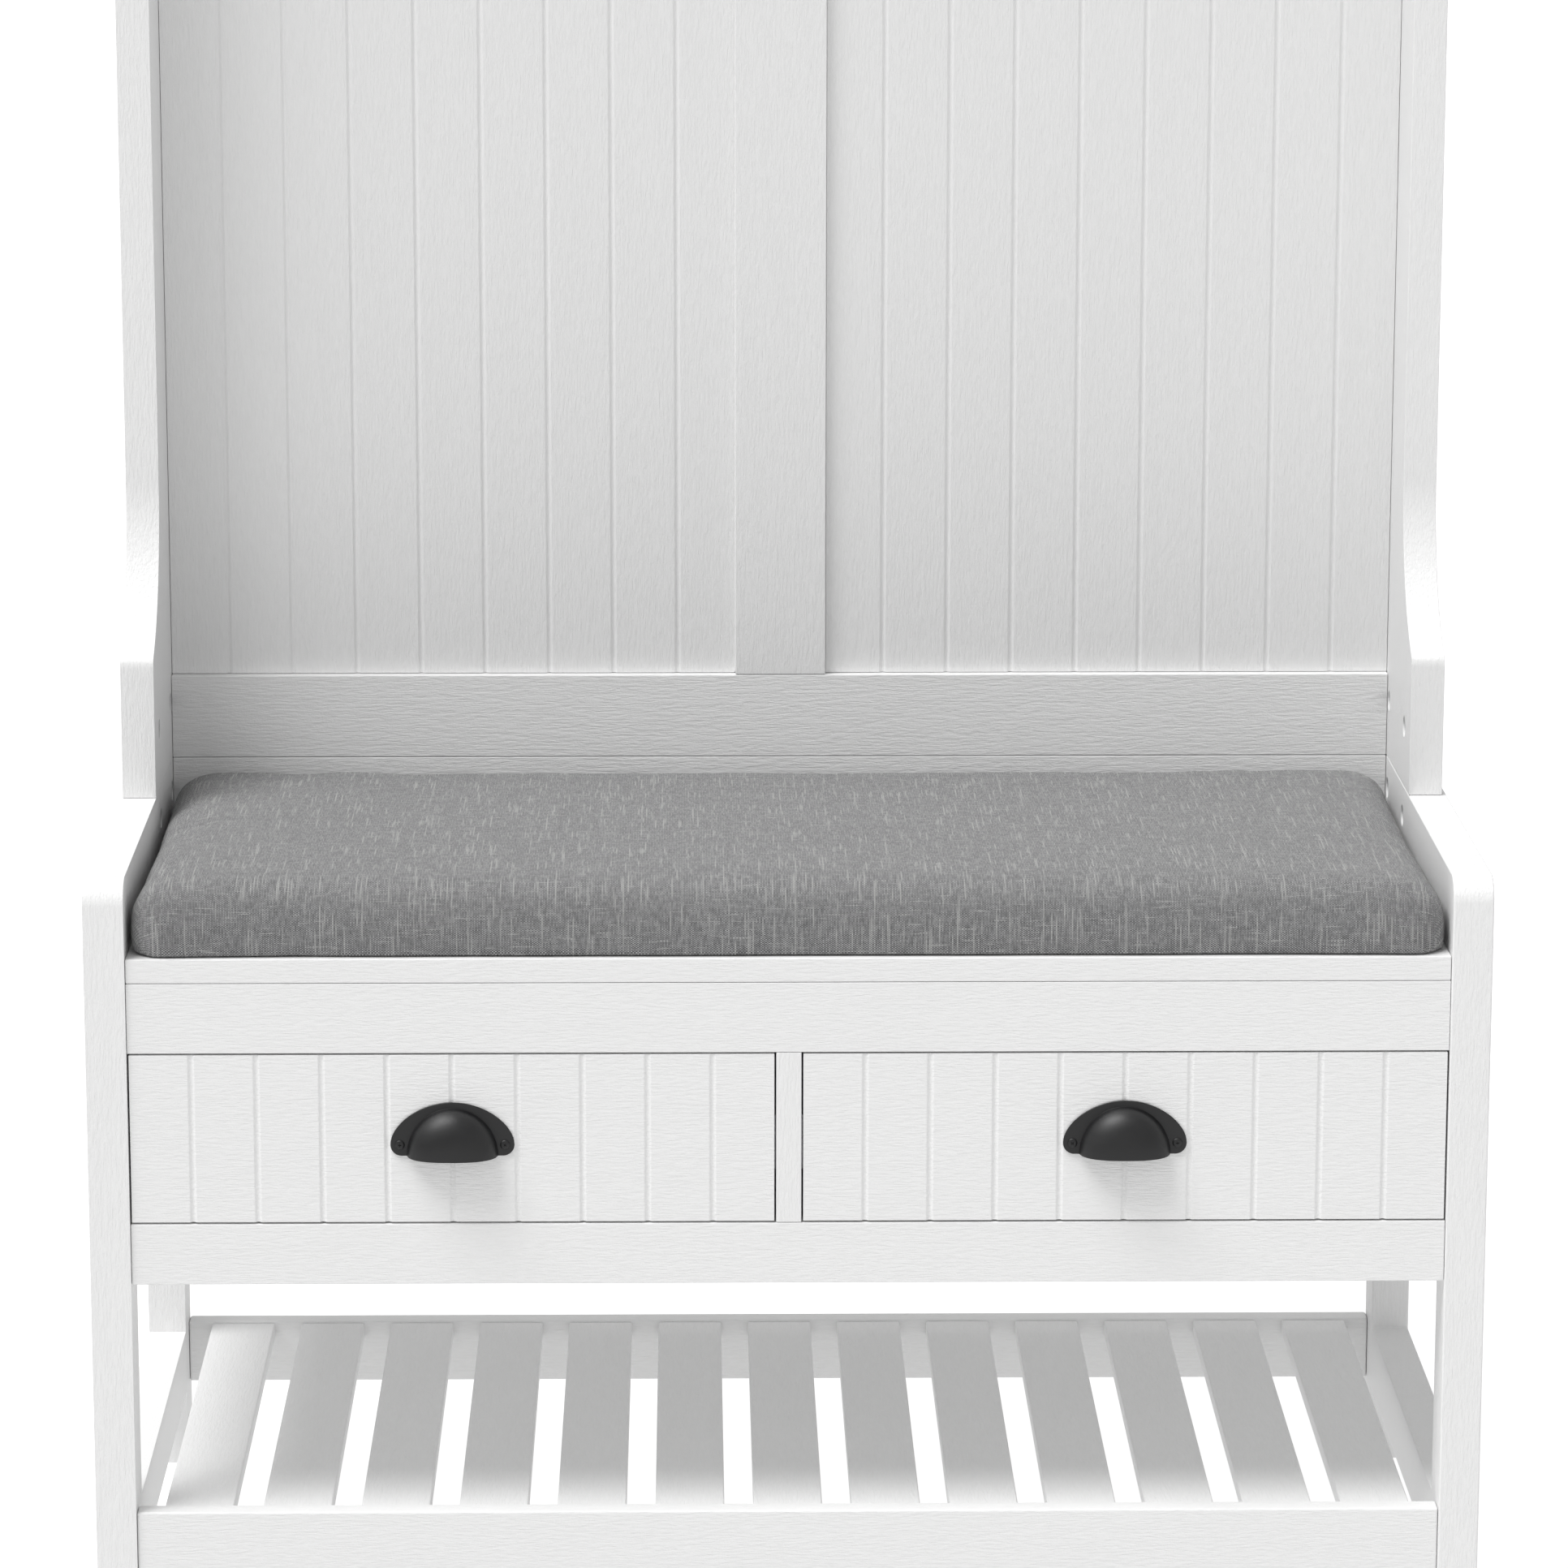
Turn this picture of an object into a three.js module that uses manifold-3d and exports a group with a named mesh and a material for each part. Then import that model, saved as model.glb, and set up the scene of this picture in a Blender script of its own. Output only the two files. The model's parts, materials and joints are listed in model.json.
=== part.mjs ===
// Hall tree: a bench with two drawers, a slatted shoe rack and a cushion, and a beadboard back with
// coat hooks and a top shelf. Millimetres, +Z up, the front faces -Y and +X is to the right.
// While it is built, Y = 0 is the front of the legs. At the end the group is shifted back so that the
// origin is the middle of the whole object's footprint, on the floor.
import * as THREE from "three";
import { mergeVertices } from "three/addons/utils/BufferGeometryUtils.js";
import Module from "manifold-3d";

const wasm = await Module();
wasm.setup();

// ---- Driving dimensions ----
const jointGap = 0.3; // between pieces that touch
const benchWidth = 1000;
const benchDepth = 482;
const totalHeight = 1800;
const seatHeight = 520; // top of the seat board
const armRise = 57; // bench sides above the seat board
const boardThickness = 18; // seat, rails, stile and divider

// Bench sides
const sideThickness = 29;
const legWidth = 45; // front to back
const armCornerRadius = 18;

// Front of the bench
const railRecess = 2; // rails and drawer fronts behind the legs' front
const apronHeight = 51;
const drawerOpeningHeight = 126;
const lowerRailHeight = 45;
const caseBottomThickness = 12;
const caseBackThickness = 5;

// Shoe rack
const rackHeight = 108.5; // top of the rack rails
const rackRailHeight = 49.5;
const rackRailThickness = 17;
const slatCount = 13;
const slatWidth = 50;
const slatThickness = 12;
const slatDrop = 1.5; // slat tops below the rail tops
const slatEndGap = 19; // from the bench side to the first slat

// Drawers
const drawerGap = 1.3; // round a drawer front
const drawerFrontThickness = 18;
const drawerPlankPitch = 46.4;
const drawerRearSpace = 31.7; // behind the drawer box
const drawerTopSpace = 25; // above the drawer box
const drawerSideThickness = 12;
const drawerBottomThickness = 4;
const drawerBoxLift = 9; // underside of the drawer box above the lower rail

// Drawer runners
const runnerSpace = 12.7; // between the case and the drawer box
const runnerSetback = 35; // the drawer box is longer than its runners
const runnerSheet = 1.2;
const runnerFlange = 8.5;
const fixedRunnerHeight = 40;
const movingRunnerHeight = 28;

// Grooves of the beadboard and the drawer fronts
const grooveWidth = 4.6;
const grooveDepth = 2;
const grooveSteps = 4;

// Upper unit
const uprightThickness = 25;
const uprightWideDepth = 205.5; // front to back at the foot
const uprightNarrowDepth = 128.5; // front to back above the cove
const coveRadius = 135.5;
const coveRise = 227.5; // from the arm to where the cove leaves the narrow front edge
const coveTipRadius = 7;
const backFrameInset = 40; // rails, stile and case back in front of the bench's back
const panelRecess = 8;
const panelThickness = 8;
const bottomRailHeight = 64.5;
const topRailHeight = 140;
const stileWidth = 69.5;
const panelPlankPitch = 49.6;
const shelfThickness = 18;
const shelfSideOverhang = 14;
const shelfFrontOverhang = 16;

// Cross bolts that hold the upper unit on the bench
const boltHoleDiameter = 15;
const boltHoleDepth = 12.5;
const boltHoleInset = 39.5; // from the upright's front edge to the front hole
const boltHoleSpacing = 100;
const upperHoleRise = 45; // above the arm
const lowerHoleDrop = 24; // below the arm

// Cushion
const cushionThickness = 49;
const cushionSideGap = 5;
const cushionFront = 3;
const cushionBackGap = 2;
const cushionCornerRadius = 30;
const cushionEdgeRadius = 14;

// Cup pulls
const pullScrewSpacing = 75;
const pullWidth = 88.5;
const pullFlangeThickness = 1.6;
const pullEarRadius = 8.2;
const pullFlangeRise = 31; // top of the flange above the screws
const pullCupWidth = 65;
const pullCupRise = 26.5; // top of the cup above the screws
const pullCupReach = 21;
const pullShell = 1.8;
const pullDrop = 4; // screws below the middle of the drawer front

// Coat hooks
const hookCount = 4;
const hookSpacing = 235;
const hookPlateWidth = 24;
const hookPlateHeight = 80;
const hookPlateThickness = 3;
const hookRodRadius = 4.2;
const hookBallRadius = 7.5;
const hookUpperReach = 64;
const hookUpperRise = 42;
const hookLowerReach = 36;
const hookLowerRise = 9;
const hookArmSpacing = 34; // between the roots of the two arms

// ---- Sizes that follow ----
const innerHalf = benchWidth / 2 - sideThickness;
const armHeight = seatHeight + armRise;
const seatUnderside = seatHeight - boardThickness;
const openingTop = seatUnderside - apronHeight;
const openingBottom = openingTop - drawerOpeningHeight;
const caseUnderside = openingBottom - lowerRailHeight;
const railBack = railRecess + boardThickness;
const backFrameBack = benchDepth - backFrameInset;
const backFrameFront = backFrameBack - boardThickness;
const caseBackFront = backFrameBack - caseBackThickness;
const rackUnderside = rackHeight - rackRailHeight;
const uprightInset = sideThickness - uprightThickness; // inner faces in line with the bench sides
const uprightOuter = benchWidth / 2 - uprightInset;
const uprightInner = uprightOuter - uprightThickness;
const uprightTop = totalHeight - shelfThickness;
const uprightWideFront = benchDepth - uprightWideDepth;
const uprightNarrowFront = benchDepth - uprightNarrowDepth;
const coveTop = armHeight + coveRise;
const boltHoleFront = uprightWideFront + boltHoleInset;
const bottomRailTop = armHeight + bottomRailHeight;
const topRailUnderside = uprightTop - topRailHeight;
const shelfFront = uprightNarrowFront - shelfFrontOverhang;
const dividerHalf = boardThickness / 2;
const drawerFrontHeight = drawerOpeningHeight - 2 * drawerGap;
const drawerFrontWidth = innerHalf - dividerHalf - 2 * drawerGap;
const drawerCentreX = (innerHalf + dividerHalf) / 2;
const drawerCentreZ = openingBottom + drawerOpeningHeight / 2;
const drawerBoxWidth = innerHalf - dividerHalf - 2 * runnerSpace;
const drawerBoxFront = railRecess + drawerFrontThickness + jointGap;
const drawerBoxUnderside = openingBottom + drawerBoxLift;
const drawerBoxHeight = drawerOpeningHeight - drawerBoxLift - drawerTopSpace;
const drawerBoxLength = caseBackFront - drawerRearSpace - drawerBoxFront;
const runnerLength = drawerBoxLength - runnerSetback;
const frontmost = railRecess - pullCupReach - jointGap;

// ---- Materials ----
const white = { color: 0xf1f1ef, roughness: 0.5, metalness: 0 };
const paint = () => new THREE.MeshStandardMaterial(white);
const bareWood = () => new THREE.MeshStandardMaterial({ color: 0xd9c8a6, roughness: 0.7, metalness: 0 });
const blackMetal = () => new THREE.MeshStandardMaterial({ color: 0x1b1b1c, roughness: 0.42, metalness: 0.5 });
const zincSteel = () => new THREE.MeshStandardMaterial({ color: 0xb9bcc0, roughness: 0.35, metalness: 1 });
const linen = () => new THREE.MeshStandardMaterial({ color: 0x77767a, roughness: 0.95, metalness: 0 });

// ---- Geometry helpers ----
const axisX = new THREE.Vector3(1, 0, 0);
const axisY = new THREE.Vector3(0, 1, 0);
const axisZ = new THREE.Vector3(0, 0, 1);
const standingSideways = new THREE.Matrix4().makeBasis(axisY, axisZ, axisX); // outline in Y and Z
const standingForward = new THREE.Matrix4().makeBasis(axisX, axisZ, axisY.clone().negate()); // X and Z

const hallTree = new THREE.Group();

function addMesh(name, geometry, material, x = 0, y = 0, z = 0, parent = hallTree) {
  const mesh = new THREE.Mesh(geometry, material);
  mesh.name = name;
  mesh.position.set(x, y, z);
  parent.add(mesh);
  return mesh;
}

// A board between two corners.
function addBoard(name, low, high, material, parent = hallTree) {
  const size = high.map((value, i) => value - low[i]);
  const middle = high.map((value, i) => (value + low[i]) / 2);
  return addMesh(name, new THREE.BoxGeometry(...size), material, ...middle, parent);
}

function extrude(shape, depth, options = {}) {
  return new THREE.ExtrudeGeometry(shape, { depth, bevelEnabled: false, ...options });
}

// A closed geometry as a solid for cutting and joining.
function solid(geometry) {
  const bare = geometry.clone();
  bare.deleteAttribute("normal");
  bare.deleteAttribute("uv");
  const merged = mergeVertices(bare, 1e-4);
  const triVerts = new Uint32Array(merged.index.array);
  const vertProperties = new Float32Array(merged.attributes.position.array);
  return new wasm.Manifold(new wasm.Mesh({ numProp: 3, vertProperties, triVerts }));
}

function geometryOf(manifold) {
  const mesh = manifold.getMesh();
  const geometry = new THREE.BufferGeometry();
  geometry.setAttribute("position", new THREE.BufferAttribute(mesh.vertProperties, 3));
  geometry.setIndex(new THREE.BufferAttribute(mesh.triVerts, 1));
  geometry.computeVertexNormals();
  return geometry;
}

// A board's plan outline whose front edge has grooves, from the left end to the right end.
function groovedPlan(width, thickness, pitch) {
  const shape = new THREE.Shape();
  const count = Math.floor(width / pitch);
  const chordHalf = grooveWidth / 2;
  const radius = (chordHalf ** 2 + grooveDepth ** 2) / (2 * grooveDepth);
  const spread = Math.asin(chordHalf / radius);
  shape.moveTo(-width / 2, thickness);
  shape.lineTo(-width / 2, 0);
  for (let i = 0; i < count; i++) {
    const x = (i - (count - 1) / 2) * pitch;
    const centreY = grooveDepth - radius;
    for (let k = 0; k <= grooveSteps; k++) {
      const angle = -spread + (2 * spread * k) / grooveSteps;
      shape.lineTo(x + radius * Math.sin(angle), centreY + radius * Math.cos(angle));
    }
  }
  shape.lineTo(width / 2, 0);
  shape.lineTo(width / 2, thickness);
  shape.closePath();
  return shape;
}

function boltHole(x, y, z) {
  const hole = new THREE.CylinderGeometry(boltHoleDiameter / 2, boltHoleDiameter / 2, 2 * boltHoleDepth, 28);
  hole.rotateZ(Math.PI / 2);
  hole.translate(x, y, z);
  return solid(hole);
}

// A board standing front to back, drilled for the cross bolts on its inner face.
function addDrilledSide(name, outline, side, inner, thickness, holeHeight) {
  const geometry = extrude(outline, thickness).applyMatrix4(standingSideways);
  geometry.translate(side > 0 ? inner : -inner - thickness, 0, 0);
  let body = solid(geometry);
  for (let i = 0; i < 2; i++) {
    body = body.subtract(boltHole(side * inner, boltHoleFront + i * boltHoleSpacing, holeHeight));
  }
  return addMesh(name, geometryOf(body), paint());
}

// ---- Bench sides: legs, arm and rack rail in one frame ----
function sideFrameOutline() {
  const rearLeg = benchDepth - legWidth;
  const outline = new THREE.Shape();
  outline.moveTo(0, 0);
  outline.lineTo(legWidth, 0);
  outline.lineTo(legWidth, rackUnderside);
  outline.lineTo(rearLeg, rackUnderside);
  outline.lineTo(rearLeg, 0);
  outline.lineTo(benchDepth, 0);
  outline.lineTo(benchDepth, armHeight);
  outline.lineTo(armCornerRadius, armHeight);
  outline.absarc(armCornerRadius, armHeight - armCornerRadius, armCornerRadius, Math.PI / 2, Math.PI, false);
  outline.closePath();
  const opening = new THREE.Path();
  opening.moveTo(legWidth, rackHeight);
  opening.lineTo(legWidth, caseUnderside);
  opening.lineTo(rearLeg, caseUnderside);
  opening.lineTo(rearLeg, rackHeight);
  opening.closePath();
  outline.holes.push(opening);
  return outline;
}

// ---- Uprights of the upper unit: wide at the foot, with a cove up to the narrow part ----
function uprightOutline() {
  const centreY = uprightNarrowFront - coveRadius;
  const tipAngle = Math.acos((uprightWideFront + coveTipRadius / 2 - centreY) / coveRadius);
  const cornerAngle = Math.acos((uprightWideFront - centreY) / coveRadius);
  const cornerZ = coveTop - coveRadius * Math.sin(cornerAngle);
  const outline = new THREE.Shape();
  outline.moveTo(uprightWideFront, armHeight + jointGap);
  outline.lineTo(benchDepth, armHeight + jointGap);
  outline.lineTo(benchDepth, uprightTop - jointGap);
  outline.lineTo(uprightNarrowFront, uprightTop - jointGap);
  outline.lineTo(uprightNarrowFront, coveTop);
  outline.absarc(centreY, coveTop, coveRadius, 0, -tipAngle, true);
  outline.quadraticCurveTo(uprightWideFront, cornerZ, uprightWideFront, cornerZ - coveTipRadius);
  outline.closePath();
  return outline;
}

for (const [word, side] of [["left", -1], ["right", 1]]) {
  addDrilledSide(`bench_side_${word}`, sideFrameOutline(), side, innerHalf, sideThickness,
    armHeight - lowerHoleDrop);
  addDrilledSide(`upright_${word}`, uprightOutline(), side, uprightInner, uprightThickness,
    armHeight + upperHoleRise);
}

// ---- Bench case ----
const caseHalf = innerHalf - jointGap;
addBoard("seat_board",
  [-caseHalf, railRecess, seatUnderside + jointGap], [caseHalf, backFrameBack, seatHeight], paint());
addBoard("apron_rail",
  [-caseHalf, railRecess, openingTop], [caseHalf, railBack, seatUnderside], paint());
addBoard("lower_rail",
  [-caseHalf, railRecess, caseUnderside], [caseHalf, railBack, openingBottom], paint());
addBoard("case_bottom",
  [-caseHalf, railBack + jointGap, openingBottom - caseBottomThickness],
  [caseHalf, caseBackFront - jointGap, openingBottom], paint());
addBoard("case_back",
  [-caseHalf, caseBackFront, caseUnderside], [caseHalf, backFrameBack, seatUnderside], paint());
addBoard("bench_back_rail",
  [-caseHalf, backFrameFront, seatHeight + jointGap], [caseHalf, backFrameBack, armHeight], paint());

// The divider's front edge stands between the rails, and behind the apron it reaches the seat board.
function dividerOutline() {
  const outline = new THREE.Shape();
  outline.moveTo(railRecess, openingBottom + jointGap);
  outline.lineTo(caseBackFront - jointGap, openingBottom + jointGap);
  outline.lineTo(caseBackFront - jointGap, seatUnderside);
  outline.lineTo(railBack + jointGap, seatUnderside);
  outline.lineTo(railBack + jointGap, openingTop - jointGap);
  outline.lineTo(railRecess, openingTop - jointGap);
  outline.closePath();
  return outline;
}
addMesh("centre_divider", extrude(dividerOutline(), boardThickness).applyMatrix4(standingSideways),
  paint(), -dividerHalf);

// ---- Shoe rack ----
const rackRearFront = benchDepth - rackRailThickness;
addBoard("rack_front_rail",
  [-caseHalf, railRecess, rackUnderside], [caseHalf, railRecess + rackRailThickness, rackHeight], paint());
addBoard("rack_rear_rail",
  [-caseHalf, rackRearFront, rackUnderside], [caseHalf, benchDepth, rackHeight], paint());
const slatPitch = (2 * (innerHalf - slatEndGap) - slatWidth) / (slatCount - 1);
for (let i = 0; i < slatCount; i++) {
  const left = slatEndGap - innerHalf + i * slatPitch;
  addBoard(`rack_slat_${i + 1}`,
    [left, railRecess + rackRailThickness + jointGap, rackHeight - slatDrop - slatThickness],
    [left + slatWidth, rackRearFront - jointGap, rackHeight - slatDrop], paint());
}

// ---- Drawers ----
// A pull's flange is a low arch over the cup with an ear round each screw.
function flangeOutline() {
  const earCentre = pullScrewSpacing / 2 + (pullWidth - pullScrewSpacing) / 2 - pullEarRadius;
  const outline = new THREE.Shape();
  outline.moveTo(-earCentre, -pullEarRadius);
  outline.lineTo(earCentre, -pullEarRadius);
  outline.absarc(earCentre, 0, pullEarRadius, -Math.PI / 2, 0, false);
  outline.bezierCurveTo(pullWidth / 2, pullFlangeRise * 0.45, pullWidth * 0.27, pullFlangeRise,
    0, pullFlangeRise);
  outline.bezierCurveTo(-pullWidth * 0.27, pullFlangeRise, -pullWidth / 2, pullFlangeRise * 0.45,
    -pullWidth / 2, 0);
  outline.absarc(-earCentre, 0, pullEarRadius, Math.PI, 1.5 * Math.PI, false);
  outline.closePath();
  return outline;
}

// A quarter of an ellipsoid, open below and behind, with its widest section at the lip.
function cupSolid(inset) {
  const dome = new THREE.SphereGeometry(1, 36, 24);
  dome.scale(pullCupWidth / 2 - inset, pullCupReach - inset, pullCupRise + pullEarRadius - inset);
  dome.translate(0, 0, -pullEarRadius);
  return solid(dome);
}

function pullGeometry() {
  const room = new THREE.BoxGeometry(pullWidth, 2 * pullCupReach, 2 * (pullCupRise + pullEarRadius));
  room.translate(0, -pullCupReach, pullCupRise);
  const flange = extrude(flangeOutline(), pullFlangeThickness, { curveSegments: 12 });
  flange.applyMatrix4(standingForward);
  const frontHalf = cupSolid(0).intersect(solid(room));
  return geometryOf(frontHalf.add(solid(flange)).subtract(cupSolid(pullShell)));
}

// A channel of sheet, seen along Y, with its web at x = 0 and its flanges towards +x or -x.
function runnerGeometry(height, towards) {
  const outline = new THREE.Shape();
  const points = [[0, 0], [runnerFlange, 0], [runnerFlange, runnerSheet], [runnerSheet, runnerSheet],
    [runnerSheet, height - runnerSheet], [runnerFlange, height - runnerSheet], [runnerFlange, height],
    [0, height]];
  const turned = towards > 0 ? points : points.map(([x, z]) => [-x, z]).reverse();
  outline.setFromPoints(turned.map(([x, z]) => new THREE.Vector2(x, z - height / 2)));
  return extrude(outline, runnerLength).applyMatrix4(standingForward);
}

for (const [word, side] of [["left", -1], ["right", 1]]) {
  const drawer = new THREE.Group();
  drawer.position.x = side * drawerCentreX;
  hallTree.add(drawer);
  const name = (piece) => `drawer_${word}_${piece}`;
  const boxHalf = drawerBoxWidth / 2;
  const boxBack = drawerBoxFront + drawerBoxLength;
  const boxTop = drawerBoxUnderside + drawerBoxHeight;
  const insideHalf = boxHalf - drawerSideThickness - jointGap;
  const front = groovedPlan(drawerFrontWidth, drawerFrontThickness, drawerPlankPitch);
  addMesh(name("front"), extrude(front, drawerFrontHeight), paint(),
    0, railRecess, openingBottom + drawerGap, drawer);
  for (const [end, sign] of [["side_left", -1], ["side_right", 1]]) {
    const outer = sign * boxHalf;
    const inner = sign * (boxHalf - drawerSideThickness);
    addBoard(name(end),
      [Math.min(outer, inner), drawerBoxFront, drawerBoxUnderside],
      [Math.max(outer, inner), boxBack, boxTop], bareWood(), drawer);
  }
  addBoard(name("back"),
    [-insideHalf, boxBack - drawerSideThickness, drawerBoxUnderside], [insideHalf, boxBack, boxTop],
    bareWood(), drawer);
  addBoard(name("bottom"),
    [-insideHalf, drawerBoxFront, drawerBoxUnderside],
    [insideHalf, boxBack - drawerSideThickness - jointGap, drawerBoxUnderside + drawerBottomThickness],
    bareWood(), drawer);
  addMesh(name("pull"), pullGeometry(), blackMetal(),
    0, railRecess - jointGap, drawerCentreZ - pullDrop, drawer);
  const runnerY = drawerBoxFront + runnerLength;
  const runnerZ = drawerBoxUnderside + drawerBoxHeight / 2;
  for (const [end, sign] of [["left", -1], ["right", 1]]) {
    const wall = sign * (boxHalf + runnerSpace - jointGap);
    addMesh(name(`runner_fixed_${end}`), runnerGeometry(fixedRunnerHeight, -sign), zincSteel(),
      wall, runnerY, runnerZ, drawer);
    addMesh(name(`runner_moving_${end}`), runnerGeometry(movingRunnerHeight, sign), zincSteel(),
      sign * (boxHalf + jointGap), runnerY, runnerZ, drawer);
  }
}

// ---- Cushion ----
function cushionOutline(halfWidth, depth, radius) {
  const outline = new THREE.Shape();
  outline.moveTo(-halfWidth + radius, 0);
  outline.lineTo(halfWidth - radius, 0);
  outline.absarc(halfWidth - radius, radius, radius, -Math.PI / 2, 0, false);
  outline.lineTo(halfWidth, depth - radius);
  outline.absarc(halfWidth - radius, depth - radius, radius, 0, Math.PI / 2, false);
  outline.lineTo(-halfWidth + radius, depth);
  outline.absarc(-halfWidth + radius, depth - radius, radius, Math.PI / 2, Math.PI, false);
  outline.lineTo(-halfWidth, radius);
  outline.absarc(-halfWidth + radius, radius, radius, Math.PI, 1.5 * Math.PI, false);
  return outline;
}
const cushionDepth = backFrameFront - cushionBackGap - cushionFront;
const cushionCore = cushionOutline(innerHalf - cushionSideGap - cushionEdgeRadius,
  cushionDepth - 2 * cushionEdgeRadius, cushionCornerRadius - cushionEdgeRadius);
addMesh("seat_cushion",
  extrude(cushionCore, cushionThickness - 2 * cushionEdgeRadius, {
    bevelEnabled: true,
    bevelThickness: cushionEdgeRadius,
    bevelSize: cushionEdgeRadius,
    bevelSegments: 4,
    curveSegments: 6,
  }),
  linen(), 0, cushionFront + cushionEdgeRadius, seatHeight + jointGap + cushionEdgeRadius);

// ---- Back of the upper unit ----
const backHalf = uprightInner - jointGap;
addBoard("bottom_rail",
  [-backHalf, backFrameFront, armHeight + jointGap], [backHalf, backFrameBack, bottomRailTop], paint());
addBoard("top_rail",
  [-backHalf, backFrameFront, topRailUnderside], [backHalf, backFrameBack, uprightTop - jointGap], paint());
addBoard("centre_stile",
  [-stileWidth / 2, backFrameFront, bottomRailTop + jointGap],
  [stileWidth / 2, backFrameBack, topRailUnderside - jointGap], paint());
const panelWidth = backHalf - stileWidth / 2 - jointGap;
const panelPlan = groovedPlan(panelWidth, panelThickness, panelPlankPitch);
const panelHeight = topRailUnderside - bottomRailTop - 2 * jointGap;
for (const [word, side] of [["left", -1], ["right", 1]]) {
  addMesh(`back_panel_${word}`, extrude(panelPlan, panelHeight), paint(),
    side * (backHalf - panelWidth / 2), backFrameFront + panelRecess, bottomRailTop + jointGap);
}
addBoard("top_shelf",
  [-uprightOuter - shelfSideOverhang, shelfFront, uprightTop],
  [uprightOuter + shelfSideOverhang, benchDepth, totalHeight], paint());

// ---- Coat hooks: a plate with a long arm that curves up and a short one below it ----
function hookArm(points) {
  const curve = new THREE.CatmullRomCurve3(points.map((p) => new THREE.Vector3(...p)));
  const section = new THREE.Shape().absarc(0, 0, hookRodRadius, 0, 2 * Math.PI, false);
  const rod = extrude(section, 1, { extrudePath: curve, steps: 16, curveSegments: 5 });
  const ball = new THREE.SphereGeometry(hookBallRadius, 14, 10);
  ball.translate(...points.at(-1));
  return solid(rod).add(solid(ball));
}

function hookGeometry() {
  const inPlate = -hookPlateThickness / 2;
  const upperRoot = hookArmSpacing / 2 - hookRodRadius;
  const lowerRoot = upperRoot - hookArmSpacing;
  const outOfPlate = -2 * hookPlateThickness;
  const upper = hookArm([[0, inPlate, upperRoot], [0, outOfPlate, upperRoot],
    [0, -hookUpperReach * 0.4, upperRoot - 5], [0, -hookUpperReach * 0.8, upperRoot + 4],
    [0, -hookUpperReach, upperRoot + hookUpperRise]]);
  const lower = hookArm([[0, inPlate, lowerRoot], [0, outOfPlate, lowerRoot],
    [0, -hookLowerReach * 0.55, lowerRoot - 8], [0, -hookLowerReach * 0.9, lowerRoot - 4],
    [0, -hookLowerReach, lowerRoot + hookLowerRise]]);
  const radius = hookPlateWidth / 2;
  const straight = hookPlateHeight / 2 - radius;
  const outline = new THREE.Shape();
  outline.absarc(0, straight, radius, 0, Math.PI, false);
  outline.absarc(0, -straight, radius, Math.PI, 2 * Math.PI, false);
  outline.closePath();
  const plate = extrude(outline, hookPlateThickness, { curveSegments: 10 });
  plate.applyMatrix4(standingForward);
  return geometryOf(solid(plate).add(upper).add(lower));
}

const hookGeometryShared = hookGeometry();
for (let i = 0; i < hookCount; i++) {
  addMesh(`coat_hook_${i + 1}`, hookGeometryShared, blackMetal(),
    (i - (hookCount - 1) / 2) * hookSpacing, backFrameFront - jointGap,
    topRailUnderside + topRailHeight / 2);
}

hallTree.position.y = -(frontmost + benchDepth) / 2;

export default hallTree;
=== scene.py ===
import json
import math
import bmesh
import bpy
from mathutils import Matrix, Vector, noise


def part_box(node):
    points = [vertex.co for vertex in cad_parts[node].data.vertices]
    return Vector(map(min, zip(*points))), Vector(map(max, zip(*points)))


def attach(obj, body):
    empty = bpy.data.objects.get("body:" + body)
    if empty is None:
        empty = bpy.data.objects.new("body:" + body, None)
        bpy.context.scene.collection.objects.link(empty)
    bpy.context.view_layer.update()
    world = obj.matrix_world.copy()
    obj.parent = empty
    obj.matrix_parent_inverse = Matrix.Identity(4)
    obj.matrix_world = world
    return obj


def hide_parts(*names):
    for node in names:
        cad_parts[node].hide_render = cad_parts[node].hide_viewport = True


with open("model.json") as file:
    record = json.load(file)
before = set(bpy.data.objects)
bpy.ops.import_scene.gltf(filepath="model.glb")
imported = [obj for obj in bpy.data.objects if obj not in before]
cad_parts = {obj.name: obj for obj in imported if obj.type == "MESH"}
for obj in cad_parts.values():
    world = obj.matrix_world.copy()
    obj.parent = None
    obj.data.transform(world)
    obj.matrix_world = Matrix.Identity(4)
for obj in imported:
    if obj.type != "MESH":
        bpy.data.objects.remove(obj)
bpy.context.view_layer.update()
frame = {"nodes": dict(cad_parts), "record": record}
print("frame loaded:", len(frame["nodes"]), "pieces")

mm = 0.001
same = 1e-6  # metres, places that count as one
quarterHandle = 0.5523  # a Bezier handle for a quarter circle, per radius
shadingAngle = 40.0  # degrees, past which an edge is shaded sharp


# camera, light and floor

cameraSet = {
    "place": (-0.0691, -4.37135, 1.5417),
    "pitch": -12.004,  # below level, in degrees
    "yaw": -0.722,
    "roll": -0.028,
    "lens": 138.04,
    "shift": (0.0115, -0.0129),
}

studio = {
    "skyStrength": 0.555,
    "floorSize": 60.0,
    "floorTone": (0.3, 0.3, 0.3),
    "floorGlow": 0.84,  # as it is seen
    "floorFill": 0.58,  # as it lights the furniture
    "sunStrength": 2.65,
    "sunTurn": (26.0, 0.0, -60.0),  # high on the left
    "sunSpread": 34.0,
}


def addCamera():
    data = bpy.data.cameras.new("viewCamera")
    data.lens = cameraSet["lens"]
    data.sensor_width = 36.0
    data.shift_x, data.shift_y = cameraSet["shift"]
    camera = bpy.data.objects.new("viewCamera", data)
    camera.location = cameraSet["place"]
    camera.rotation_euler = (
        math.radians(90 + cameraSet["pitch"]),
        math.radians(cameraSet["roll"]),
        math.radians(cameraSet["yaw"]),
    )
    bpy.context.collection.objects.link(camera)
    bpy.context.scene.camera = camera


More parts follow.
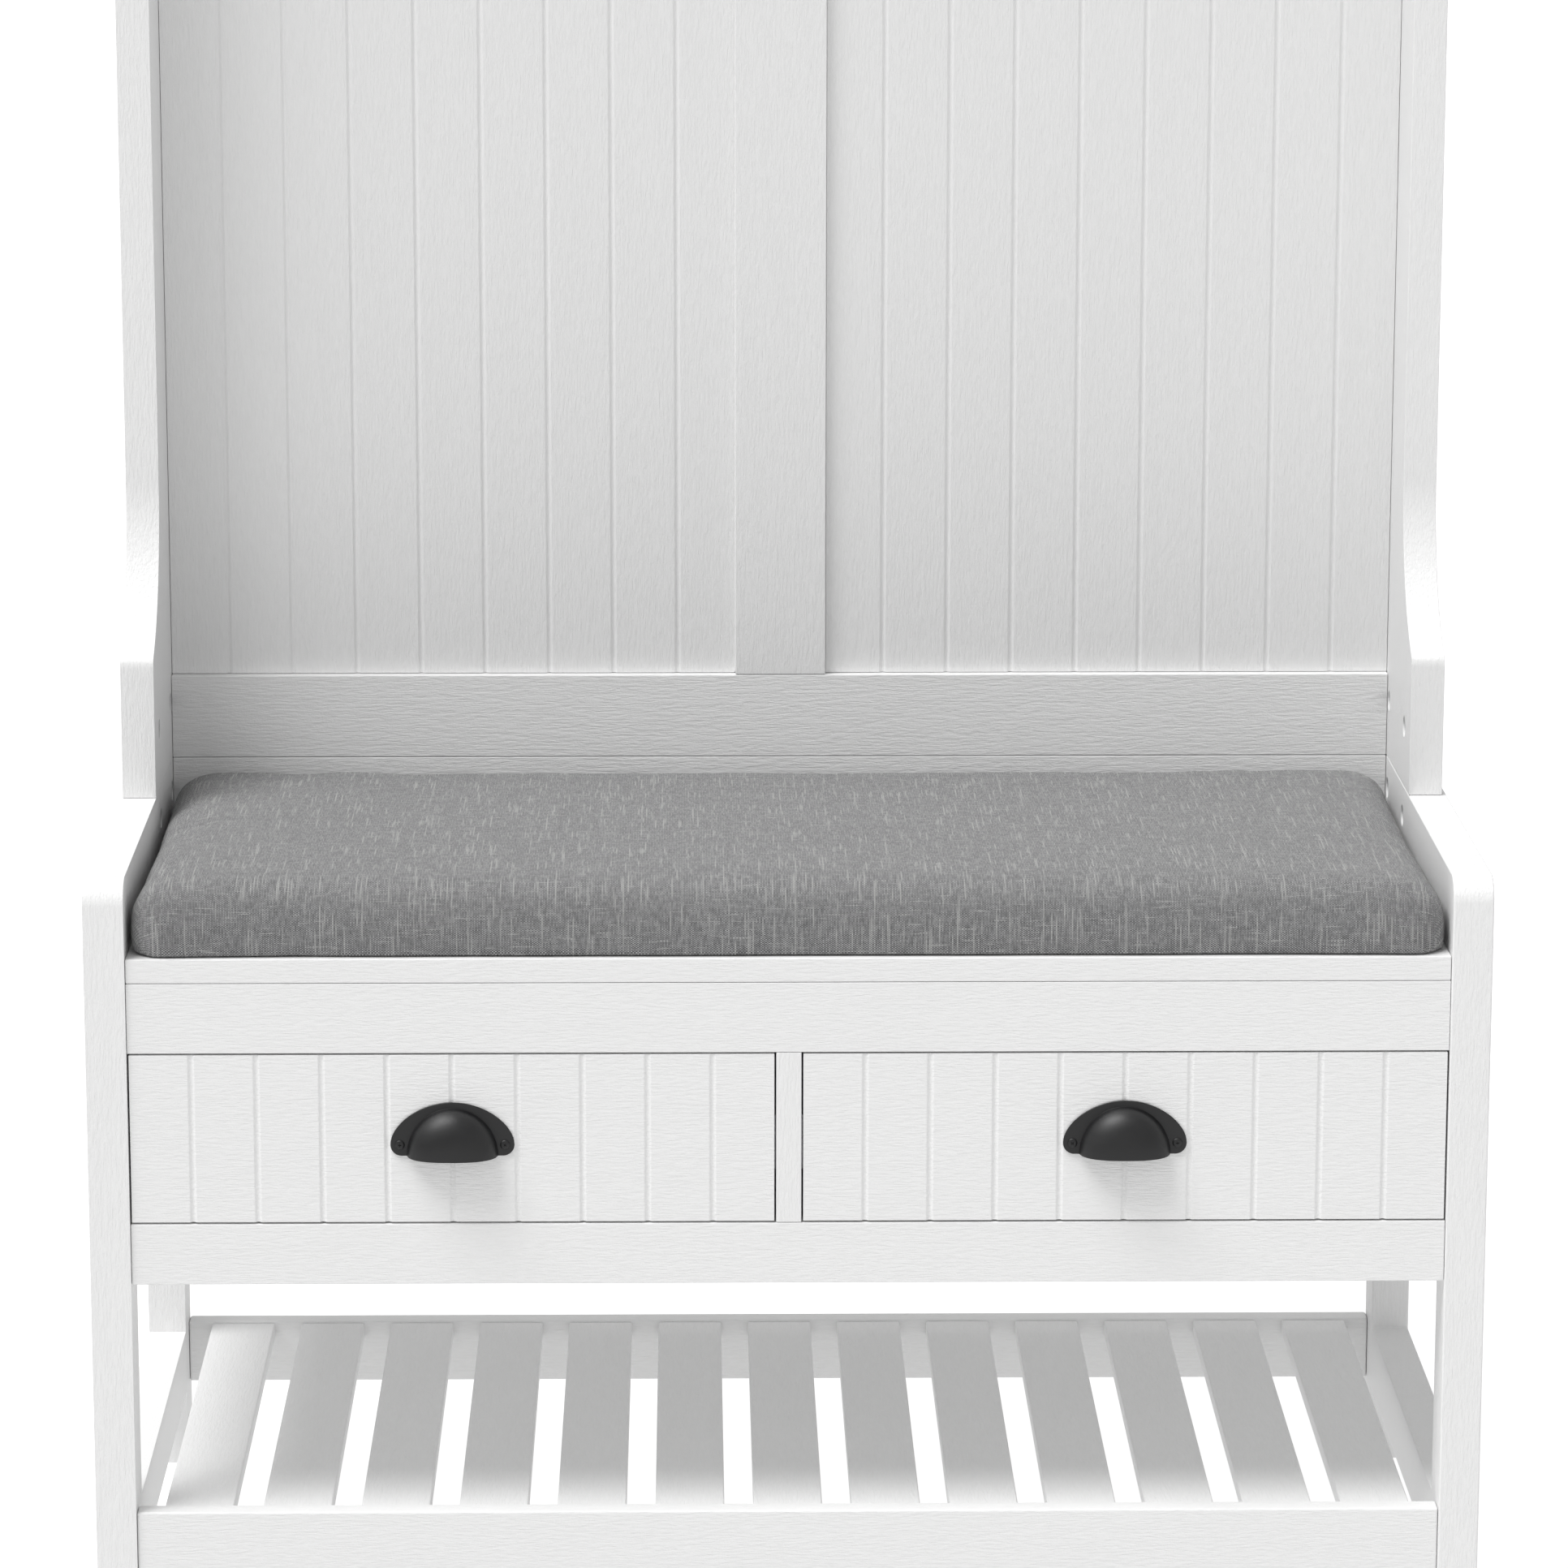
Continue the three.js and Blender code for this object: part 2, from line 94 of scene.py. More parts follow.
def addStudio():
    world = bpy.data.worlds.new("studioSky")
    world.use_nodes = True
    sky = world.node_tree.nodes["Background"]
    sky.inputs["Color"].default_value = (1.0, 1.0, 1.0, 1.0)
    sky.inputs["Strength"].default_value = studio["skyStrength"]
    # the white wall behind is seen, but lights nothing
    paper = world.node_tree.nodes.new("ShaderNodeBackground")
    paper.inputs["Color"].default_value = (1.0, 1.0, 1.0, 1.0)
    rays = world.node_tree.nodes.new("ShaderNodeLightPath")
    pick = world.node_tree.nodes.new("ShaderNodeMixShader")
    joins = world.node_tree.links
    joins.new(rays.outputs["Is Camera Ray"], pick.inputs[0])
    joins.new(sky.outputs[0], pick.inputs[1])
    joins.new(paper.outputs[0], pick.inputs[2])
    joins.new(pick.outputs[0], world.node_tree.nodes["World Output"].inputs["Surface"])
    bpy.context.scene.world = world
    bpy.context.scene.view_settings.view_transform = "Standard"
    data = bpy.data.lights.new("softSun", "SUN")
    data.energy = studio["sunStrength"]
    data.angle = math.radians(studio["sunSpread"])
    light = bpy.data.objects.new("softSun", data)
    light.rotation_euler = [math.radians(a) for a in studio["sunTurn"]]
    bpy.context.collection.objects.link(light)
    bm = bmesh.new()
    bmesh.ops.create_grid(bm, x_segments=2, y_segments=2, size=studio["floorSize"] / 2)
    mesh = bpy.data.meshes.new("studioFloor")
    bm.to_mesh(mesh)
    bm.free()
    material = bpy.data.materials.new("floorPaper")
    material.use_nodes = True
    shader = material.node_tree.nodes["Principled BSDF"]
    shader.inputs["Base Color"].default_value = (*studio["floorTone"], 1.0)
    shader.inputs["Roughness"].default_value = 0.9
    shader.inputs["Emission Color"].default_value = (1.0, 1.0, 1.0, 1.0)
    tree = material.node_tree
    rays = tree.nodes.new("ShaderNodeLightPath")
    glow = tree.nodes.new("ShaderNodeMapRange")
    glow.inputs["To Min"].default_value = studio["floorFill"]
    glow.inputs["To Max"].default_value = studio["floorGlow"]
    tree.links.new(rays.outputs["Is Camera Ray"], glow.inputs["Value"])
    tree.links.new(glow.outputs["Result"], shader.inputs["Emission Strength"])
    mesh.materials.append(material)
    floor = bpy.data.objects.new("studioFloor", mesh)
    bpy.context.collection.objects.link(floor)


addCamera()
addStudio()
print("camera and studio ready")


# shader helpers


def link(tree, value, socket):
    # a value is another node's output, a number or a triple
    if isinstance(value, bpy.types.NodeSocket):
        tree.links.new(value, socket)
    else:
        socket.default_value = value


def calc(tree, operation, first, second=0.0, clamp=False):
    node = tree.nodes.new("ShaderNodeMath")
    node.operation = operation
    node.use_clamp = clamp
    link(tree, first, node.inputs[0])
    link(tree, second, node.inputs[1])
    return node.outputs[0]


def stretch(tree, vector, factors):
    node = tree.nodes.new("ShaderNodeVectorMath")
    node.operation = "MULTIPLY"
    link(tree, vector, node.inputs[0])
    link(tree, factors, node.inputs[1])
    return node.outputs[0]


def cloud(tree, vector, scale=1.0, detail=2.0, roughness=0.5):
    node = tree.nodes.new("ShaderNodeTexNoise")
    node.inputs["Scale"].default_value = scale
    node.inputs["Detail"].default_value = detail
    node.inputs["Roughness"].default_value = roughness
    link(tree, vector, node.inputs["Vector"])
    return node.outputs["Fac"]


def remap(tree, value, fromLow, fromHigh, toLow, toHigh):
    node = tree.nodes.new("ShaderNodeMapRange")
    link(tree, value, node.inputs["Value"])
    link(tree, fromLow, node.inputs["From Min"])
    link(tree, fromHigh, node.inputs["From Max"])
    link(tree, toLow, node.inputs["To Min"])
    link(tree, toHigh, node.inputs["To Max"])
    return node.outputs["Result"]


def blendColours(tree, factor, first, second):
    node = tree.nodes.new("ShaderNodeMix")
    node.data_type = "RGBA"
    link(tree, factor, node.inputs[0])
    for colour, socket in ((first, node.inputs[6]), (second, node.inputs[7])):
        plain = not isinstance(colour, bpy.types.NodeSocket)
        link(tree, (*colour, 1.0) if plain else colour, socket)
    return node.outputs[2]


def bump(tree, height, distance):
    node = tree.nodes.new("ShaderNodeBump")
    node.inputs["Strength"].default_value = 1.0
    node.inputs["Distance"].default_value = distance
    link(tree, height, node.inputs["Height"])
    return node.outputs["Normal"]


def newGroup(name, inputs, outputs):
    group = bpy.data.node_groups.new(name, "ShaderNodeTree")
    for label, kind, value in inputs:
        socket = group.interface.new_socket(label, in_out="INPUT", socket_type=kind)
        if value is not None:
            socket.default_value = value
    for label, kind in outputs:
        group.interface.new_socket(label, in_out="OUTPUT", socket_type=kind)
    entry = group.nodes.new("NodeGroupInput")
    leave = group.nodes.new("NodeGroupOutput")
    return group, entry.outputs, leave.inputs


def useGroup(tree, group, **values):
    node = tree.nodes.new("ShaderNodeGroup")
    node.node_tree = group
    for label, value in values.items():
        link(tree, value, node.inputs[label])
    return node.outputs


def newMaterial(name, **constants):
    material = bpy.data.materials.new(name)
    material.use_nodes = True
    tree = material.node_tree
    shader = tree.nodes["Principled BSDF"]
    for label, value in constants.items():
        shader.inputs[label.replace("_", " ")].default_value = value
    coordinates = tree.nodes.new("ShaderNodeTexCoord")
    return material, tree, shader.inputs, coordinates.outputs["Object"]


# shared effects


grainSet = {
    # how a pattern is squeezed along and across the grain
    "rings": (0.9, 7.0, 7.0),
    "ringWobble": (9.0, 160.0, 160.0),
    "wobble": 0.22,  # of one ring
    "pores": (90.0, 620.0, 620.0),
    "waves": (5.0, 60.0, 60.0),
}


def makeWoodGrain():
    # growth rings as long arches along X, and short pores between them
    group, given, result = newGroup(
        "woodGrain",
        [
            ("Position", "NodeSocketVector", None),
            ("RingCount", "NodeSocketFloat", 9.0),
            ("RingSharpness", "NodeSocketFloat", 2.0),
        ],
        [("Rings", "NodeSocketFloat"), ("Pores", "NodeSocketFloat"), ("Waves", "NodeSocketFloat")],
    )
    slow = cloud(group, stretch(group, given["Position"], grainSet["rings"]), 1.0, 1.0, 0.4)
    turns = calc(group, "MULTIPLY", slow, given["RingCount"])
    fine = cloud(group, stretch(group, given["Position"], grainSet["ringWobble"]), 1.0, 2.0, 0.6)
    turns = calc(group, "ADD", turns, calc(group, "MULTIPLY", fine, grainSet["wobble"]))
    saw = calc(group, "FRACT", turns)
    link(group, calc(group, "POWER", saw, given["RingSharpness"]), result["Rings"])
    pores = cloud(group, stretch(group, given["Position"], grainSet["pores"]), 1.0, 3.0, 0.6)
    link(group, remap(group, pores, 0.4, 0.66, 0.0, 1.0), result["Pores"])
    waves = cloud(group, stretch(group, given["Position"], grainSet["waves"]), 1.0, 3.0)
    link(group, waves, result["Waves"])
    return group


def makeHandling():
    # faint smears and specks where a surface is touched and cleaned
    group, given, result = newGroup(
        "handling",
        [("Position", "NodeSocketVector", None), ("Size", "NodeSocketFloat", 9.0)],
        [("Smears", "NodeSocketFloat"), ("Peel", "NodeSocketFloat")],
    )
    wide = cloud(group, stretch(group, given["Position"], (1.0, 1.0, 1.6)), 1.0, 4.0, 0.6)
    link(group, given["Size"], wide.node.inputs["Scale"])
    link(group, remap(group, wide, 0.35, 0.7, 0.0, 1.0), result["Smears"])
    link(group, cloud(group, given["Position"], 640.0, 3.0, 0.6), result["Peel"])
    return group


woodGrain = makeWoodGrain()
handling = makeHandling()


# finishes

paintSet = {
    "tone": (0.86, 0.86, 0.858),
    "inGrain": (0.83, 0.83, 0.828),
    "roughness": (0.46, 0.56),
    "relief": 0.00024,
    "rings": (10.0, 2.5),  # how many, how sharp
    "smearSize": 7.0,
    "colourOf": (0.15, 0.55),  # how far rings and pores tint the paint
    "heightOf": (-0.15, -0.8, 0.8, 0.3),  # rings, pores, peel and waves in the relief
    "turns": {"across": (0, 0, 0), "up": (0, 90, 0), "deep": (0, 0, -90)},  # puts X along the grain
    "shifts": [(0.0, 0.0, 0.0), (3.7, 1.9, 0.4), (8.1, 5.3, 2.6)],
}

bareWoodSet = {
    "light": (0.66, 0.49, 0.31),
    "dark": (0.46, 0.31, 0.17),
    "roughness": (0.5, 0.62),
    "relief": 0.00012,
    "rings": (14.0, 3.0),
    "colourOf": (0.6, 0.35),
}

metalSet = {
    "black": (0.0065, 0.0065, 0.007),
    "blackWorn": (0.011, 0.011, 0.0115),
    "zinc": (0.55, 0.56, 0.58),
    "zincDull": (0.42, 0.43, 0.46),
    "blackRoughness": (0.38, 0.5),
    "blackRelief": 0.00004,
    "blackSmears": 28.0,
    "zincRoughness": (0.24, 0.42),
    "zincRelief": 0.00003,
    "zincSmears": 40.0,
    "brushing": (900.0, 25.0, 900.0),
}


def grainAlong(tree, position, direction, shift, rings):
    # the grain of a board, turned to run along its length
    turn = tree.nodes.new("ShaderNodeMapping")
    turn.inputs["Rotation"].default_value = [math.radians(a) for a in paintSet["turns"][direction]]
    turn.inputs["Location"].default_value = shift
    link(tree, position, turn.inputs["Vector"])
    return useGroup(tree, woodGrain, Position=turn.outputs["Vector"], RingCount=rings[0],
                    RingSharpness=rings[1])


def grainShade(tree, grain, amounts):
    return calc(tree, "ADD", calc(tree, "MULTIPLY", grain["Rings"], amounts[0]),
                calc(tree, "MULTIPLY", grain["Pores"], amounts[1]), clamp=True)


def paintedWood(name, direction, shift):
    material, tree, shader, position = newMaterial(name)
    grain = grainAlong(tree, position, direction, shift, paintSet["rings"])
    touched = useGroup(tree, handling, Position=position, Size=paintSet["smearSize"])
    shade = grainShade(tree, grain, paintSet["colourOf"])
    link(tree, blendColours(tree, shade, paintSet["tone"], paintSet["inGrain"]), shader["Base Color"])
    low, high = paintSet["roughness"]
    link(tree, remap(tree, touched["Smears"], 0.0, 1.0, low, high), shader["Roughness"])
    rings, pores, peel, waves = paintSet["heightOf"]
    height = calc(tree, "ADD", calc(tree, "MULTIPLY", grain["Rings"], rings),
                  calc(tree, "MULTIPLY", grain["Pores"], pores))
    height = calc(tree, "ADD", height, calc(tree, "MULTIPLY", touched["Peel"], peel))
    height = calc(tree, "ADD", height, calc(tree, "MULTIPLY", grain["Waves"], waves))
    link(tree, bump(tree, height, paintSet["relief"]), shader["Normal"])
    return material


def paleWood(name, direction, shift):
    material, tree, shader, position = newMaterial(name)
    grain = grainAlong(tree, position, direction, shift, bareWoodSet["rings"])
    shade = grainShade(tree, grain, bareWoodSet["colourOf"])
    link(tree, blendColours(tree, shade, bareWoodSet["light"], bareWoodSet["dark"]),
         shader["Base Color"])
    low, high = bareWoodSet["roughness"]
    link(tree, remap(tree, grain["Waves"], 0.3, 0.7, low, high), shader["Roughness"])
    sunken = calc(tree, "MULTIPLY", grain["Pores"], -1.0)
    link(tree, bump(tree, sunken, bareWoodSet["relief"]), shader["Normal"])
    return material


def blackSatin():
    material, tree, shader, position = newMaterial("blackSatin", Specular_IOR_Level=0.5)
    touched = useGroup(tree, handling, Position=position, Size=metalSet["blackSmears"])
    link(tree, blendColours(tree, touched["Smears"], metalSet["black"], metalSet["blackWorn"]),
         shader["Base Color"])
    low, high = metalSet["blackRoughness"]
    link(tree, remap(tree, touched["Smears"], 0.0, 1.0, low, high), shader["Roughness"])
    link(tree, bump(tree, touched["Peel"], metalSet["blackRelief"]), shader["Normal"])
    return material


def zincPlate():
    material, tree, shader, position = newMaterial("zincPlate", Metallic=1.0)
    touched = useGroup(tree, handling, Position=position, Size=metalSet["zincSmears"])
    link(tree, blendColours(tree, touched["Smears"], metalSet["zinc"], metalSet["zincDull"]),
         shader["Base Color"])
    brushed = cloud(tree, stretch(tree, position, metalSet["brushing"]), 1.0, 2.0, 0.5)
    low, high = metalSet["zincRoughness"]
    link(tree, remap(tree, brushed, 0.3, 0.7, low, high), shader["Roughness"])
    link(tree, bump(tree, brushed, metalSet["zincRelief"]), shader["Normal"])
    return material


linenSet = {
    "pitch": (1.15, 0.7),  # mm from one thread to the next, across and along
    # dark is the painted shade laid into the gaps between the threads
    "dark": (0.042, 0.042, 0.043),
    "weft": ((0.122, 0.122, 0.124), (0.256, 0.256, 0.259)),  # from its dull flecks to its bright ones
    "warp": ((0.293, 0.293, 0.296), (0.525, 0.525, 0.528)),
    "slub": (0.58, 0.58, 0.567),
    "slubLength": (46.0, 20.0),  # mm, of the warp and of the weft
    "fleckLength": 8.0,  # mm, of the finer streaks along either thread
    # noise at which a slub starts and is full, and how strong it gets
    "warpSlub": (0.58, 0.69, 0.75),
    "weftSlub": (0.62, 0.74, 0.8),
    "threadSteps": (7.31, 5.77, 3.37, 4.13),  # noise from one thread to the next, so that none match
    "sway": 1.2,  # mm, how far the threads wander
    "wander": 0.02,  # how often they do, per mm
    "relief": 0.00035,
}


def slubLinen():
    # the piece's UV map holds millimetres along the two threads
    material, tree, shader = newMaterial("slubLinen", Specular_IOR_Level=0.2, Sheen_Weight=0.25,
                                         Sheen_Roughness=0.5)[:3]
    uv = tree.nodes.new("ShaderNodeUVMap")
    uv.uv_map = "threads"
    parts = tree.nodes.new("ShaderNodeSeparateXYZ")
    wander = stretch(tree, uv.outputs["UV"], (linenSet["wander"], linenSet["wander"], 0.0))
    link(tree, uv.outputs["UV"], parts.inputs[0])
    sway = calc(tree, "MULTIPLY", cloud(tree, wander, 1.0, 1.0), linenSet["sway"])
    pitch = linenSet["pitch"]
    across = calc(tree, "DIVIDE", calc(tree, "ADD", parts.outputs["X"], sway), pitch[0])
    along = calc(tree, "DIVIDE", calc(tree, "ADD", parts.outputs["Y"], sway), pitch[1])
    column = calc(tree, "FLOOR", across)
    row = calc(tree, "FLOOR", along)
    # over is 1 where the warp lies on top, under where the weft does
    over = calc(tree, "FLOORED_MODULO", calc(tree, "ADD", column, row), 2.0)

    def threadNoise(first, second, scales):
        join = tree.nodes.new("ShaderNodeCombineXYZ")
        link(tree, first, join.inputs[0])
        link(tree, second, join.inputs[1])
        return cloud(tree, stretch(tree, join.outputs[0], scales), 1.0, 1.0)

    length, fleck, steps = linenSet["slubLength"], linenSet["fleckLength"], linenSet["threadSteps"]
    warpTone = threadNoise(column, along, (steps[0], pitch[1] / length[0], 0.0))
    weftTone = threadNoise(across, row, (pitch[0] / length[1], steps[1], 0.0))
    warpFine = threadNoise(column, along, (steps[2], pitch[1] / fleck, 0.0))
    weftFine = threadNoise(across, row, (pitch[0] / fleck, steps[3], 0.0))
    under = calc(tree, "SUBTRACT", 1.0, over)
    fine = calc(tree, "ADD", calc(tree, "MULTIPLY", over, warpFine),
                calc(tree, "MULTIPLY", under, weftFine))
    start, full, most = linenSet["warpSlub"]
    warpSlub = calc(tree, "MULTIPLY", remap(tree, warpTone, start, full, 0.0, most),
                    remap(tree, over, 0.0, 1.0, 0.55, 1.0))
    start, full, most = linenSet["weftSlub"]
    weftSlub = calc(tree, "MULTIPLY", remap(tree, weftTone, start, full, 0.0, most),
                    remap(tree, under, 0.0, 1.0, 0.5, 0.85))
    slub = calc(tree, "MAXIMUM", warpSlub, weftSlub)

    def arch(value, power):
        centred = calc(tree, "SUBTRACT", calc(tree, "MULTIPLY", calc(tree, "FRACT", value), 2.0), 1.0)
        return calc(tree, "SUBTRACT", 1.0, calc(tree, "POWER", calc(tree, "ABSOLUTE", centred), power))

    crown = calc(tree, "MULTIPLY", arch(across, 2.0), arch(along, 2.0))
    bright = remap(tree, fine, 0.35, 0.65, 0.0, 1.0)
    body = blendColours(tree, over, blendColours(tree, bright, *linenSet["weft"]),
                        blendColours(tree, bright, *linenSet["warp"]))
    body = blendColours(tree, slub, body, linenSet["slub"])
    # painted shade: the colour goes dark in the gaps between the thread crowns, less so over slubs
    gap = remap(tree, crown, 0.0, 0.4, 0.9, 0.0)
    gap = calc(tree, "MULTIPLY", gap, remap(tree, slub, 0.0, 1.0, 1.0, 0.45))
    body = blendColours(tree, gap, body, linenSet["dark"])
    link(tree, body, shader["Base Color"])
    link(tree, remap(tree, fine, 0.3, 0.7, 0.82, 0.96), shader["Roughness"])
    height = calc(tree, "ADD", crown, calc(tree, "MULTIPLY", slub, 0.35))
    link(tree, bump(tree, height, linenSet["relief"]), shader["Normal"])
    return material


paints = {
    direction: [paintedWood(f"{direction}GrainPaint{i + 1}", direction, shift)
                for i, shift in enumerate(paintSet["shifts"])]
    for direction in paintSet["turns"]
}
paleWoods = {d: paleWood(f"{d}GrainPine", d, paintSet["shifts"][1]) for d in ("across", "deep")}
blackPaint = blackSatin()
zinc = zincPlate()
linen = slubLinen()
print("finishes ready")


# modelling helpers


def pieceName(node):
    words = node.split("_")
    return words[0] + "".join(word.capitalize() for word in words[1:])


def boxShape(bm, low, high):
    made = bmesh.ops.create_cube(bm, size=1.0)["verts"]
    size = [high[i] - low[i] for i in range(3)]
    bmesh.ops.scale(bm, vec=size, verts=made)
    bmesh.ops.translate(bm, vec=[(high[i] + low[i]) / 2 for i in range(3)], verts=made)
    return made


def turnAbout(bm, angle, axis, verts=None):
    bmesh.ops.rotate(bm, cent=(0, 0, 0), matrix=Matrix.Rotation(angle, 3, axis),
                     verts=bm.verts if verts is None else verts)


def sharpEdges(bm, degrees):
    limit = math.radians(degrees)
    return [edge for edge in bm.edges if edge.is_manifold and edge.calc_face_angle() > limit]


def soften(bm, edges, radius, segments=3):
    bmesh.ops.bevel(bm, geom=edges, offset=radius, segments=segments, affect="EDGES", profile=0.5,
                    material=-1, clamp_overlap=True)


def addPiece(bm, name, material, body, nodes=(), even=True):
    bmesh.ops.recalc_face_normals(bm, faces=bm.faces)
    for face in bm.faces:
        face.smooth = True
    mesh = bpy.data.meshes.new(name)
    bm.to_mesh(mesh)
    bm.free()
    mesh.set_sharp_from_angle(angle=math.radians(shadingAngle))
    mesh.materials.append(material)
    piece = bpy.data.objects.new(name, mesh)
    bpy.context.collection.objects.link(piece)
    if even:
        weighted = piece.modifiers.new("evenShading", "WEIGHTED_NORMAL")
        weighted.keep_sharp = True
    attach(piece, body)
    if nodes:
        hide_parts(*nodes)
    return piece


def bodyOf(node):
    for body, names in frame["record"]["behaviour"]["bodies"].items():
        if node in names:
            return body


# boards

boards = {
    # node: grain, which paint, radius of its arrises in mm
    "seat_board": ("across", 0, 1.0),
    "apron_rail": ("across", 1, 0.6),
    "lower_rail": ("across", 2, 0.9),
    "case_bottom": ("across", 1, 0.5),
    "case_back": ("across", 0, 0.4),
    "bench_back_rail": ("across", 1, 0.8),
    "rack_front_rail": ("across", 0, 1.6),
    "rack_rear_rail": ("across", 2, 1.6),
    "bottom_rail": ("across", 2, 0.8),
    "top_rail": ("across", 0, 0.8),
    "centre_stile": ("up", 0, 0.8),
    "top_shelf": ("across", 1, 2.0),
}

slats = {"count": 13, "radius": 1.4}

shapedBoards = {
    # node: which paint, radius of its arrises in mm
    "bench_side_left": (0, 1.3),
    "upright_left": (1, 1.3),
    "bench_side_right": (1, 1.3),
    "upright_right": (2, 1.3),
    "centre_divider": (0, 0.6),
}

shaping = {
    "merge": 0.00002,  # metres, corners of the CAD's triangles that are one
    "flat": 0.5,  # degrees, below which triangles lie in one face
    "arris": 40.0,  # degrees, past which an edge is an arris
}


def makeBoard(node, material, radius):
    low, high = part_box(node)
    bm = bmesh.new()
    boxShape(bm, low, high)
    soften(bm, bm.edges[:], radius * mm)
    return addPiece(bm, pieceName(node), material, bodyOf(node), [node])


def makeShapedBoard(node, material, radius):
    # the CAD outline with its arrises eased
    bm = bmesh.new()
    bm.from_mesh(frame["nodes"][node].data)
    bmesh.ops.remove_doubles(bm, verts=bm.verts, dist=shaping["merge"])
    bmesh.ops.dissolve_limit(bm, angle_limit=math.radians(shaping["flat"]), verts=bm.verts,
                             edges=bm.edges)
    soften(bm, sharpEdges(bm, shaping["arris"]), radius * mm)
    return addPiece(bm, pieceName(node), material, bodyOf(node), [node])


for node, (grain, which, radius) in boards.items():
    makeBoard(node, paints[grain][which], radius)
for i in range(slats["count"]):
    paint = paints["deep"][i % len(paints["deep"])]
    makeBoard(f"rack_slat_{i + 1}", paint, slats["radius"])
for node, (which, radius) in shapedBoards.items():
    makeShapedBoard(node, paints["up"][which], radius)
print("boards ready")


# boards with grooves

grooves = {
    "width": 4.6,
    "depth": 2.0,
    "round": 1.5,
    "ease": 0.5,
    "crease": 32.0,  # degrees, past which an edge is eased
    "drawer": (46.4, 9),  # pitch and count
    "panel": (49.6, 8),
}

drawerBox = {
    # part: grain
    "side_left": "deep",
    "side_right": "deep",
    "back": "across",
    "bottom": "deep",
}
drawerBoxRadius = 0.6


def makeGroovedBoard(node, material, pitch, count):
    low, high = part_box(node)
    middle = (low[0] + high[0]) / 2
    half = grooves["width"] * mm / 2
    centres = [middle + (i - (count - 1) / 2) * pitch * mm for i in range(count)]
    bm = bmesh.new()
    boxShape(bm, low, high)
    for centre in centres:
        for place in (centre - half, centre, centre + half):
            bmesh.ops.bisect_plane(bm, geom=bm.verts[:] + bm.edges[:] + bm.faces[:],
                                   plane_co=(place, 0, 0), plane_no=(1, 0, 0))
    depth = grooves["depth"] * mm
    bottoms = [v for v in bm.verts if abs(v.co.y - low[1]) < same
               and any(abs(v.co.x - centre) < same for centre in centres)]
    bmesh.ops.translate(bm, vec=(0, depth, 0), verts=bottoms)
    floors = [e for e in bm.edges if all(abs(v.co.y - low[1] - depth) < same for v in e.verts)
              and abs(e.verts[0].co.x - e.verts[1].co.x) < same]
    soften(bm, floors, grooves["round"] * mm, 4)
    soften(bm, sharpEdges(bm, grooves["crease"]), grooves["ease"] * mm, 2)
    return addPiece(bm, pieceName(node), material, bodyOf(node), [node])


for i, side in enumerate(("left", "right")):
    makeGroovedBoard(f"drawer_{side}_front", paints["across"][i], *grooves["drawer"])
    makeGroovedBoard(f"back_panel_{side}", paints["up"][i + 1], *grooves["panel"])
    for part, grain in drawerBox.items():
        makeBoard(f"drawer_{side}_{part}", paleWoods[grain], drawerBoxRadius)
print("drawers and back panels ready")


# cup pulls

pullSet = {
    "width": 88.5,
    "rise": 31.0,  # flange above the screws
    "earRadius": 8.2,
    "flange": 1.6,
    "cupWidth": 65.0,
    "cupRise": 26.5,
    "reach": 21.0,
    "shell": 1.7,
    "flare": 0.5,  # sweep from the cup into its flange
    "screwSpacing": 75.0,
    "screwRadius": 3.5,
    "screwRise": 1.3,
    "seat": 0.05,  # the heads stand off the flange by this
    "shape": (0.76, 0.95),  # powers that fill the round out to the side and to the front
    "rounds": (9, 14, 20, 28, 36, 45, 54, 63, 71, 79, 85),  # degrees from flange to crown
    "edge": 0.5,  # radius round the flange and the rim
}


def meshOf(thing):
    # the finished mesh of a curve or a piece with modifiers
    seen = bpy.context.evaluated_depsgraph_get()
    mesh = bpy.data.meshes.new_from_object(thing.evaluated_get(seen))
    bpy.data.objects.remove(thing)
    return mesh


def flatOutline(name, points, thickness, roundOver):
    # a filled outline in X and Y with rounded edges; each point is its place and its two handles
    curve = bpy.data.curves.new(name, "CURVE")
    curve.dimensions = "2D"
    curve.fill_mode = "BOTH"
    curve.resolution_u = 16
    curve.extrude = thickness / 2 - roundOver
    curve.bevel_depth = roundOver
    curve.bevel_resolution = 2
    curve.offset = -roundOver
    spline = curve.splines.new("BEZIER")
    spline.bezier_points.add(len(points) - 1)
    spline.use_cyclic_u = True
    for point, (place, back, ahead) in zip(spline.bezier_points, points):
        point.co = (*place, 0)
        point.handle_left = (*back, 0)
        point.handle_right = (*ahead, 0)
    thing = bpy.data.objects.new(name, curve)
    bpy.context.collection.objects.link(thing)
    return meshOf(thing)


def flangeMesh():
    half, ear, rise = pullSet["width"] / 2 * mm, pullSet["earRadius"] * mm, pullSet["rise"] * mm
    k = quarterHandle * ear
    points = [  # each place with the handles before and after it
        ((0, rise), (-half * 0.54, rise), (half * 0.54, rise)),
        ((half, 0), (half, rise * 0.45), (half, -k)),
        ((half - ear, -ear), (half - ear + k, -ear), (half - ear - k, -ear)),
        ((-half + ear, -ear), (-half + ear + k, -ear), (-half + ear - k, -ear)),
        ((-half, 0), (-half, -k), (-half, rise * 0.45)),
    ]
    return flatOutline("pullFlange", points, pullSet["flange"] * mm, pullSet["edge"] * mm)


